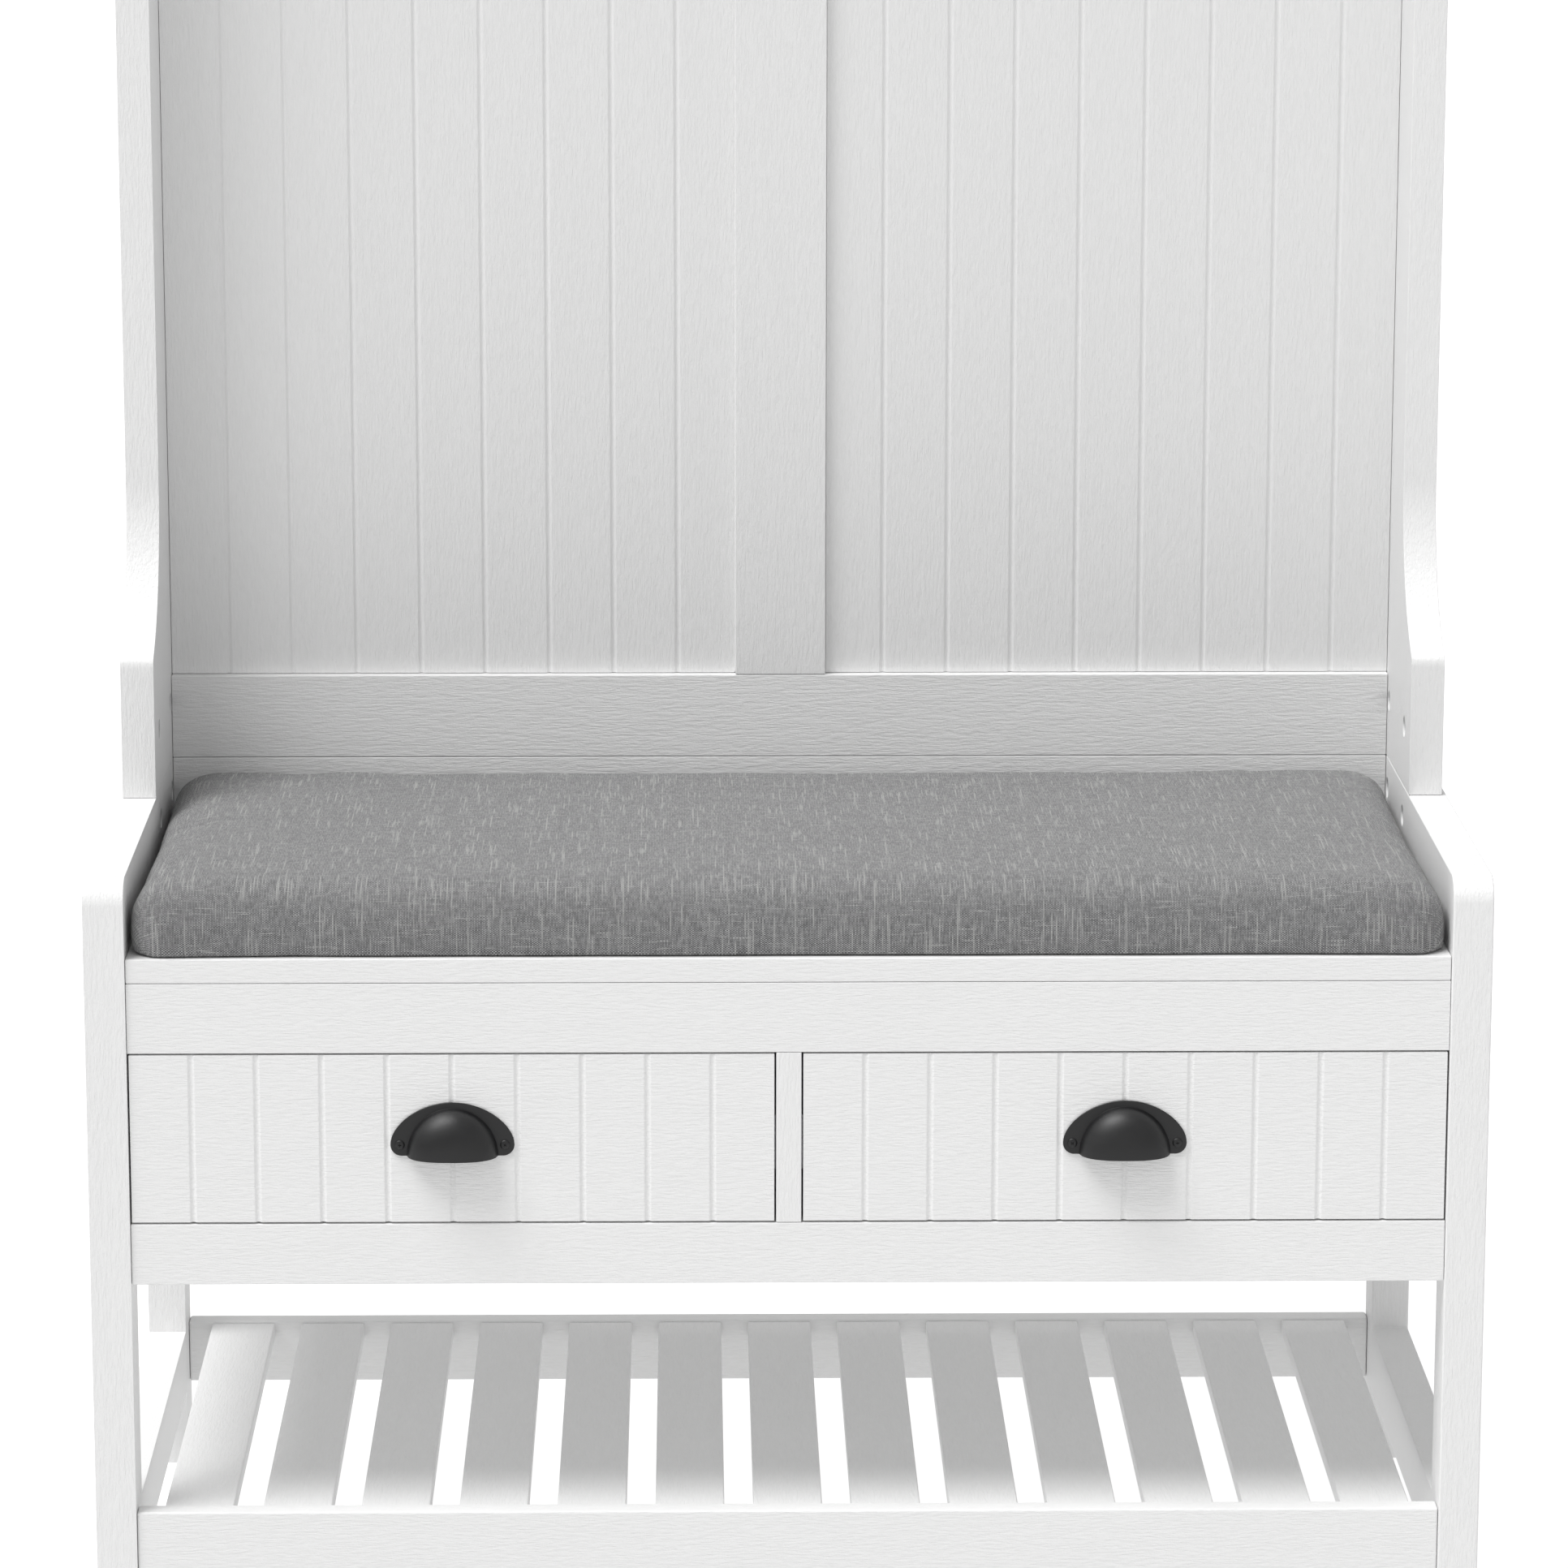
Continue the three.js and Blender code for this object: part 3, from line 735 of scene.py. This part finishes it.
def makePull(node):
    low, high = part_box(node)
    middle = Vector(((low[0] + high[0]) / 2, high[1], low[2] + pullSet["earRadius"] * mm))
    across, reach = pullSet["cupWidth"] / 2 * mm, pullSet["reach"] * mm
    rise = (pullSet["cupRise"] + pullSet["earRadius"]) * mm
    flare, skin = pullSet["flare"] * mm / across, pullSet["flange"] * mm
    bm = bmesh.new()
    profile = [(1 + flare, skin * 0.95), (1 + flare * 0.3, skin * 1.05), (1.0, skin * 1.35)]
    side, front = pullSet["shape"]
    profile += [(math.cos(a) ** side, reach * math.sin(a) ** front)
                for a in map(math.radians, pullSet["rounds"])]
    verts = [bm.verts.new((r, -y, 0)) for r, y in profile] + [bm.verts.new((0.0, -reach, 0))]
    edges = [bm.edges.new(pair) for pair in zip(verts, verts[1:])]
    bmesh.ops.spin(bm, geom=verts + edges, cent=(0, 0, 0), axis=(0, -1, 0), dvec=(0, 0, 0),
                   angle=math.pi, steps=48, use_merge=False, use_duplicate=False)
    bmesh.ops.remove_doubles(bm, verts=bm.verts, dist=1e-6)
    bmesh.ops.scale(bm, vec=(across, 1, rise), verts=bm.verts)
    if sum(v.co.z for v in bm.verts) < 0:
        bmesh.ops.scale(bm, vec=(1, 1, -1), verts=bm.verts)
    bmesh.ops.translate(bm, vec=(0, 0, -pullSet["earRadius"] * mm), verts=bm.verts)
    bmesh.ops.recalc_face_normals(bm, faces=bm.faces)
    if sum(f.normal.y * f.calc_area() for f in bm.faces) > 0:  # the cup has to face the room
        bmesh.ops.reverse_faces(bm, faces=bm.faces[:])
    bmesh.ops.solidify(bm, geom=bm.faces[:], thickness=pullSet["shell"] * mm)
    soften(bm, sharpEdges(bm, 60), pullSet["edge"] * mm)
    plate = bmesh.new()
    plate.from_mesh(flangeMesh())
    turnAbout(plate, math.pi / 2, "X")
    bmesh.ops.translate(plate, vec=(0, -pullSet["flange"] * mm / 2, 0), verts=plate.verts)
    spare = bpy.data.meshes.new("spare")
    plate.to_mesh(spare)
    plate.free()
    bm.from_mesh(spare)
    bmesh.ops.translate(bm, vec=middle, verts=bm.verts)
    addPiece(bm, pieceName(node), blackPaint, bodyOf(node), [node])
    return middle


# screws


def crossCutter(reach, width, depth):
    bm = bmesh.new()
    for turn in (0, math.pi / 2):
        made = bmesh.ops.create_cube(bm, size=1.0)["verts"]
        bmesh.ops.scale(bm, vec=(2 * reach, depth, width), verts=made)
        tips = [v for v in made if v.co.y > 0]
        bmesh.ops.scale(bm, vec=(0.45, 1, 0.6), verts=tips)
        turnAbout(bm, turn, "Y", made)
    return bm


def cutOut(bm, tool):
    # the finished mesh of one bmesh with another cut out of it; both are used up
    things = []
    for name, part in (("whole", bm), ("cutter", tool)):
        mesh = bpy.data.meshes.new(name)
        part.to_mesh(mesh)
        part.free()
        thing = bpy.data.objects.new(name, mesh)
        bpy.context.collection.objects.link(thing)
        things.append(thing)
    recess = things[0].modifiers.new("recess", "BOOLEAN")
    recess.operation = "DIFFERENCE"
    recess.object = things[1]
    recess.solver = "EXACT"
    recess.use_self = True
    mesh = meshOf(things[0])
    bpy.data.objects.remove(things[1])
    return mesh


def screwHeadMesh(radius, rise):
    # a pan head that faces -Y, with its cross recess cut in
    bm = bmesh.new()
    profile = [(1.0, 0.0), (1.0, 0.22), (0.93, 0.55), (0.78, 0.82), (0.5, 0.96), (0.0, 1.0)]
    verts = [bm.verts.new((r * radius, -y * rise, 0)) for r, y in profile] + [bm.verts.new((0, 0, 0))]
    edges = [bm.edges.new(pair) for pair in zip(verts, verts[1:] + verts[:1])]
    bmesh.ops.spin(bm, geom=verts + edges, cent=(0, 0, 0), axis=(0, 1, 0), dvec=(0, 0, 0),
                   angle=2 * math.pi, steps=28, use_merge=True, use_duplicate=False)
    bmesh.ops.remove_doubles(bm, verts=bm.verts, dist=1e-7)
    bmesh.ops.recalc_face_normals(bm, faces=bm.faces)
    cut = crossCutter(radius * 0.46, radius * 0.17, rise * 1.3)
    bmesh.ops.translate(cut, vec=(0, -rise * 0.85, 0), verts=cut.verts)
    return cutOut(bm, cut)


def placeScrew(mesh, name, place, body, material, turn):
    bm = bmesh.new()
    bm.from_mesh(mesh)
    turnAbout(bm, turn, "Y")
    bmesh.ops.translate(bm, vec=place, verts=bm.verts)
    return addPiece(bm, name, material, body, even=False)


pullScrew = screwHeadMesh(pullSet["screwRadius"] * mm, pullSet["screwRise"] * mm)
for side, turn in (("left", 0.4), ("right", 1.1)):
    node = f"drawer_{side}_pull"
    middle = makePull(node)
    stand = (pullSet["flange"] + pullSet["seat"]) * mm
    for word, sign in (("Left", -1), ("Right", 1)):
        place = middle + Vector((sign * pullSet["screwSpacing"] / 2 * mm, -stand, 0))
        placeScrew(pullScrew, f"{pieceName(node)}Screw{word}", place, bodyOf(node), blackPaint,
                   turn + sign * 0.3)
print("cup pulls ready")


# cushion

cushionSet = {
    "shrink": 3.0,  # start smaller than the finished pad, mm
    "plumpness": 4.0,
    "voxel": 6.3,
    "cap": 9.0,  # the furthest a point may swell, mm
    "edgeRadius": 20.0,  # round the top
    "footRadius": 4.0,  # round the underside
    "cornerRadius": 24.0,
    "sideGap": 2.7,  # from the finished pad to the bench sides
    "crown": 4.5,  # top above the foam block, mm
    "press": 3.0,  # of the round underside that is pressed flat on the seat
    "past": (1.5, 0.8),  # beyond the foam block at the front and the back, mm
    "wrinkles": ((14.0, 0.9), (45.0, 0.35)),  # how close together, and how high in mm
    "turnDown": 9.0,  # mm below the top, where the cover starts down the side
    "frames": 20,
}


def cushionStart(low, high):
    bm = bmesh.new()
    inset = cushionSet["shrink"] * mm
    a = (low[0] + inset, low[1] + inset, low[2])
    b = (high[0] - inset, high[1] - inset, high[2] - inset)
    boxShape(bm, a, b)
    upright = [e for e in bm.edges if abs(e.verts[0].co.z - e.verts[1].co.z) > 0.01]
    soften(bm, upright, cushionSet["cornerRadius"] * mm, 8)
    rims = [e for e in sharpEdges(bm, 60) if abs(e.verts[0].co.z - e.verts[1].co.z) < 1e-5]
    top = [e for e in rims if e.verts[0].co.z > (a[2] + b[2]) / 2]
    foot = [e for e in rims if e.verts[0].co.z <= (a[2] + b[2]) / 2]
    soften(bm, top, cushionSet["edgeRadius"] * mm, 6)
    soften(bm, foot, cushionSet["footRadius"] * mm, 2)
    bmesh.ops.recalc_face_normals(bm, faces=bm.faces)
    mesh = bpy.data.meshes.new("cushionStart")
    bm.to_mesh(mesh)
    bm.free()
    thing = bpy.data.objects.new("cushionStart", mesh)
    bpy.context.collection.objects.link(thing)
    remesh = thing.modifiers.new("evenMesh", "REMESH")
    remesh.mode = "VOXEL"
    remesh.voxel_size = cushionSet["voxel"] * mm
    return meshOf(thing)


def swell(mesh):
    thing = bpy.data.objects.new("cushionCloth", mesh)
    bpy.context.collection.objects.link(thing)
    still = [v.co.copy() for v in mesh.vertices]
    cloth = thing.modifiers.new("filling", "CLOTH")
    cloth.settings.use_pressure = True
    cloth.settings.uniform_pressure_force = cushionSet["plumpness"]
    cloth.settings.effector_weights.gravity = 0.0
    cloth.settings.quality = 5
    scene = bpy.context.scene
    for step in range(1, cushionSet["frames"] + 1):
        scene.frame_set(step)
    puffed = meshOf(thing)
    scene.frame_set(1)
    cap = cushionSet["cap"] * mm
    for v, start in zip(puffed.vertices, still):
        move = v.co - start
        if move.length > cap:
            v.co = start + move * (cap / move.length)
    return puffed


def makeCushion():
    node = "seat_cushion"
    low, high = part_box(node)
    mesh = swell(cushionStart(low, high))
    bm = bmesh.new()
    bm.from_mesh(mesh)
    for v in bm.verts:
        swelling = sum(noise.noise(v.co * often) * tall for often, tall in cushionSet["wrinkles"])
        v.co += v.normal * swelling * mm
        v.co.z = max(low[2], v.co.z)  # flat on the seat
    bmesh.ops.smooth_vert(bm, verts=bm.verts, factor=0.5, use_axis_x=True, use_axis_y=True,
                          use_axis_z=True)
    # the cover fills the seat from arm to arm
    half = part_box("bench_side_right")[0][0] - cushionSet["sideGap"] * mm
    front, back = cushionSet["past"]
    wanted = ((-half, low[1] - front * mm, low[2] - cushionSet["press"] * mm),
              (half, high[1] + back * mm, high[2] + cushionSet["crown"] * mm))
    for axis in range(3):
        least = min(v.co[axis] for v in bm.verts)
        most = max(v.co[axis] for v in bm.verts)
        ratio = (wanted[1][axis] - wanted[0][axis]) / (most - least)
        for v in bm.verts:
            v.co[axis] = wanted[0][axis] + (v.co[axis] - least) * ratio
    for v in bm.verts:
        v.co.z = max(low[2], v.co.z)
    threads = bm.loops.layers.uv.new("threads")
    top = max(v.co.z for v in bm.verts)
    middle = (low[1] + high[1]) / 2
    for face in bm.faces:
        atEnd = abs(face.normal.x) > abs(face.normal.y)
        for loop in face.loops:
            place = loop.vert.co
            drop = max(0.0, top - place.z - cushionSet["turnDown"] * mm)
            u = place.x + math.copysign(drop, place.x) if atEnd else place.x
            v = place.y if atEnd else place.y + math.copysign(drop, place.y - middle)
            loop[threads].uv = (u / mm, v / mm)
    cushion = addPiece(bm, pieceName(node), linen, bodyOf(node), [node], even=False)
    cushion.data.set_sharp_from_angle(angle=math.radians(180))
    finer = cushion.modifiers.new("finer", "SUBSURF")
    finer.levels = finer.render_levels = 1


makeCushion()
print("cushion ready")


# coat hooks

hookSet = {
    "plate": (24.0, 80.0, 3.0),  # width, height, thickness
    "rod": 4.2,
    "ball": 7.5,
    "upperRoot": 12.8,
    "lowerRoot": -21.2,
    "upper": [(0.0, 0.0), (6.0, 0.0), (25.6, -5.0), (51.2, 4.0), (64.0, 42.0)],
    "lower": [(0.0, 0.0), (6.0, 0.0), (19.8, -8.0), (32.4, -4.0), (36.0, 9.0)],
    "screws": (29.0, -5.0),  # height on the plate
    "screwHead": (3.4, 1.8),  # radius and rise
    "sunk": 0.1,  # of a screw's head in the plate
    "rootDepth": 1.5,  # where an arm starts, in the plate
    "taper": (1.3, 0.1),  # thickness at the root, and less at each point along
    "voxel": 0.75,
    "softness": (0.5, 6),  # strength and rounds of smoothing
}


def hookMesh():
    arms = []
    thick, thinner = hookSet["taper"]
    for key in ("upper", "lower"):
        curve = bpy.data.curves.new("hookArm", "CURVE")
        curve.dimensions = "3D"
        curve.bevel_depth = hookSet["rod"] * mm
        curve.bevel_resolution = 6
        curve.use_fill_caps = True
        spline = curve.splines.new("NURBS")
        points = hookSet[key]
        spline.points.add(len(points) - 1)
        root = hookSet[key + "Root"]
        for i, (point, (out, up)) in enumerate(zip(spline.points, points)):
            point.co = (0, -(out + hookSet["rootDepth"]) * mm, (root + up) * mm, 1)
            point.radius = thick - thinner * i
        spline.use_endpoint_u = True
        spline.order_u = 3
        spline.resolution_u = 12
        arm = bpy.data.objects.new("hookArm", curve)
        bpy.context.collection.objects.link(arm)
        arms.append(meshOf(arm))
    width, height, thickness = hookSet["plate"]
    straight = (height - width) / 2
    k, r = quarterHandle * width / 2, width / 2
    outline = [
        ((0, straight + r), (-k, straight + r), (k, straight + r)),
        ((r, straight), (r, straight + k), (r, straight - 1)),
        ((r, -straight), (r, -straight + 1), (r, -straight - k)),
        ((0, -straight - r), (k, -straight - r), (-k, -straight - r)),
        ((-r, -straight), (-r, -straight - k), (-r, -straight + 1)),
        ((-r, straight), (-r, straight - 1), (-r, straight + k)),
    ]
    scaled = [tuple((x * mm, y * mm) for x, y in point) for point in outline]
    plate = flatOutline("hookPlate", scaled, thickness * mm, 1.0 * mm)
    bm = bmesh.new()
    bm.from_mesh(plate)
    turnAbout(bm, math.pi / 2, "X")
    bmesh.ops.translate(bm, vec=(0, -thickness * mm / 2, 0), verts=bm.verts)
    for mesh in arms:
        bm.from_mesh(mesh)
    for key in ("upper", "lower"):
        out, up = hookSet[key][-1]
        ball = bmesh.ops.create_uvsphere(bm, u_segments=28, v_segments=18,
                                         radius=hookSet["ball"] * mm)["verts"]
        bmesh.ops.translate(bm, vec=(0, -out * mm, (hookSet[key + "Root"] + up) * mm), verts=ball)
    bmesh.ops.recalc_face_normals(bm, faces=bm.faces)
    rough = bpy.data.meshes.new("hookRough")
    bm.to_mesh(rough)
    bm.free()
    thing = bpy.data.objects.new("hookRough", rough)
    bpy.context.collection.objects.link(thing)
    remesh = thing.modifiers.new("oneCasting", "REMESH")
    remesh.mode = "VOXEL"
    remesh.voxel_size = hookSet["voxel"] * mm
    ease = thing.modifiers.new("castSoftness", "SMOOTH")
    ease.factor, ease.iterations = hookSet["softness"]
    return meshOf(thing)


hookShape = hookMesh()
hookScrew = screwHeadMesh(*[size * mm for size in hookSet["screwHead"]])
for i in range(4):
    node = f"coat_hook_{i + 1}"
    low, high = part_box(node)
    plateHeight = hookSet["plate"][1] * mm
    origin = Vector(((low[0] + high[0]) / 2, high[1], low[2] + plateHeight / 2))
    bm = bmesh.new()
    bm.from_mesh(hookShape)
    bmesh.ops.translate(bm, vec=origin, verts=bm.verts)
    addPiece(bm, pieceName(node), blackPaint, bodyOf(node), [node], even=False)
    for word, up in zip(("Upper", "Lower"), hookSet["screws"]):
        place = origin + Vector((0, -(hookSet["plate"][2] - hookSet["sunk"]) * mm, up * mm))
        placeScrew(hookScrew, f"{pieceName(node)}Screw{word}", place, bodyOf(node), blackPaint,
                   0.5 * i + up)
print("coat hooks ready")


# drawer runners

runnerSet = {
    "ball": 2.2,  # radius
    "balls": 6,
    "firstBall": 12.0,  # behind the runner's front end
    "ballPitch": 14.0,
    "row": 16.4,  # above and below the middle
    "screwPlaces": (26.0, 160.0, 318.0),
    "screwHead": (3.2, 1.4),  # radius and rise
    "web": 1.25,  # thickness of the channel that the screws stand on
}


def makeRunnerDetails(side, end, sign):
    fixedLow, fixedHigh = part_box(f"drawer_{side}_runner_fixed_{end}")
    movingLow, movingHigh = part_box(f"drawer_{side}_runner_moving_{end}")
    middleZ = (fixedLow[2] + fixedHigh[2]) / 2
    inner = max(fixedLow[0], movingLow[0])
    outer = min(fixedHigh[0], movingHigh[0])
    bm = bmesh.new()
    for i in range(runnerSet["balls"]):
        for row in (-1, 1):
            ball = bmesh.ops.create_uvsphere(bm, u_segments=12, v_segments=8,
                                             radius=runnerSet["ball"] * mm)["verts"]
            place = ((inner + outer) / 2,
                     fixedLow[1] + (runnerSet["firstBall"] + i * runnerSet["ballPitch"]) * mm,
                     middleZ + row * runnerSet["row"] * mm)
            bmesh.ops.translate(bm, vec=place, verts=ball)
    drawer, word = f"drawer{side.capitalize()}Runner", end.capitalize()
    addPiece(bm, f"{drawer}Balls{word}", zinc, "cabinet", even=False)
    # screws that hold the moving channel to the drawer side
    web = movingHigh[0] if sign < 0 else movingLow[0]
    for i, along in enumerate(runnerSet["screwPlaces"]):
        bm = bmesh.new()
        bm.from_mesh(runnerScrew)
        turnAbout(bm, sign * math.pi / 2, "Z")
        place = (web + sign * runnerSet["web"] * mm, movingLow[1] + along * mm, middleZ)
        bmesh.ops.translate(bm, vec=place, verts=bm.verts)
        addPiece(bm, f"{drawer}Screw{word}{i + 1}", zinc, f"drawer_{side}", even=False)


runnerScrew = screwHeadMesh(*[size * mm for size in runnerSet["screwHead"]])
for side in ("left", "right"):
    for end, sign in (("left", -1), ("right", 1)):
        makeRunnerDetails(side, end, sign)
for name, thing in frame["nodes"].items():
    if "_runner_" in name:
        for spot in thing.material_slots:
            spot.material = zinc
print("runners ready")


# cross bolts and back fixings

boltSet = {
    "radius": 7.1,
    "sunk": 8.3,  # below the face of the board
    "body": 4.0,
    "spacing": 100.0,
    "inset": 39.5,  # from the upright's front edge to the first bolt
    "above": 45.0,  # the arm's top to the upper bolts
    "below": 24.0,
    "chamfer": 0.5,
    "rim": 1.6,
    "step": (0.3, -0.6),  # from the rim in, and down to the face
    "cross": (3.6, 1.5, 3.4),  # reach, width and depth
}

backScrewSet = {
    "head": (3.4, 1.5),  # radius and rise
    "count": 5,
    "side": 30.0,  # from the ends of the board
    "low": 22.0,
    "high": 25.0,
    "gap": 0.02,
}


def camMesh():
    # a drum with a chamfered face towards -Y and a cross recess
    bm = bmesh.new()
    drum = bmesh.ops.create_cone(bm, cap_ends=True, segments=36, radius1=boltSet["radius"] * mm,
                                 radius2=boltSet["radius"] * mm, depth=boltSet["body"] * mm)["verts"]
    turnAbout(bm, math.pi / 2, "X", drum)
    soften(bm, sharpEdges(bm, 60), boltSet["chamfer"] * mm, 2)
    face = min(v.co.y for v in bm.verts)
    ring = [f for f in bm.faces if abs(f.calc_center_median().y - face) < same]
    inward, down = boltSet["step"]
    bmesh.ops.inset_region(bm, faces=ring, thickness=boltSet["rim"] * mm)
    bmesh.ops.inset_region(bm, faces=ring, thickness=inward * mm, depth=down * mm)
    cut = crossCutter(*[size * mm for size in boltSet["cross"]])
    bmesh.ops.translate(cut, vec=(0, face, 0), verts=cut.verts)
    return cutOut(bm, cut)


def addBolts():
    cam = camMesh()
    for side, sign in (("left", -1), ("right", 1)):
        upLow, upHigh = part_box(f"upright_{side}")
        benchLow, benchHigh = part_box(f"bench_side_{side}")
        joint = benchHigh[2]
        for word, low, high, height in (("Upper", upLow, upHigh, joint + boltSet["above"] * mm),
                                        ("Lower", benchLow, benchHigh, joint - boltSet["below"] * mm)):
            face = high[0] if sign < 0 else low[0]
            for i in range(2):
                bm = bmesh.new()
                bm.from_mesh(cam)
                turnAbout(bm, 0.6 + i, "Y")
                turnAbout(bm, -sign * math.pi / 2, "Z")
                place = (face + sign * (boltSet["sunk"] + boltSet["body"] / 2) * mm,
                         upLow[1] + (boltSet["inset"] + i * boltSet["spacing"]) * mm, height)
                bmesh.ops.translate(bm, vec=place, verts=bm.verts)
                addPiece(bm, f"cam{side.capitalize()}{word}{i + 1}", zinc, "cabinet",
                         even=False)


def addBackScrews():
    screw = screwHeadMesh(*[size * mm for size in backScrewSet["head"]])
    low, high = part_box("case_back")
    side, count = backScrewSet["side"] * mm, backScrewSet["count"]
    columns = [low[0] + side + i * (high[0] - low[0] - 2 * side) / (count - 1) for i in range(count)]
    for row, height in (("Low", low[2] + backScrewSet["low"] * mm),
                        ("High", high[2] - backScrewSet["high"] * mm)):
        for i, x in enumerate(columns):
            bm = bmesh.new()
            bm.from_mesh(screw)
            turnAbout(bm, 0.7 * i, "Y")
            turnAbout(bm, math.pi, "Z")
            bmesh.ops.translate(bm, vec=(x, high[1] + backScrewSet["gap"] * mm, height), verts=bm.verts)
            addPiece(bm, f"caseBackScrew{row}{i + 1}", zinc, "cabinet", even=False)


addBolts()
addBackScrews()
print("fixings ready")
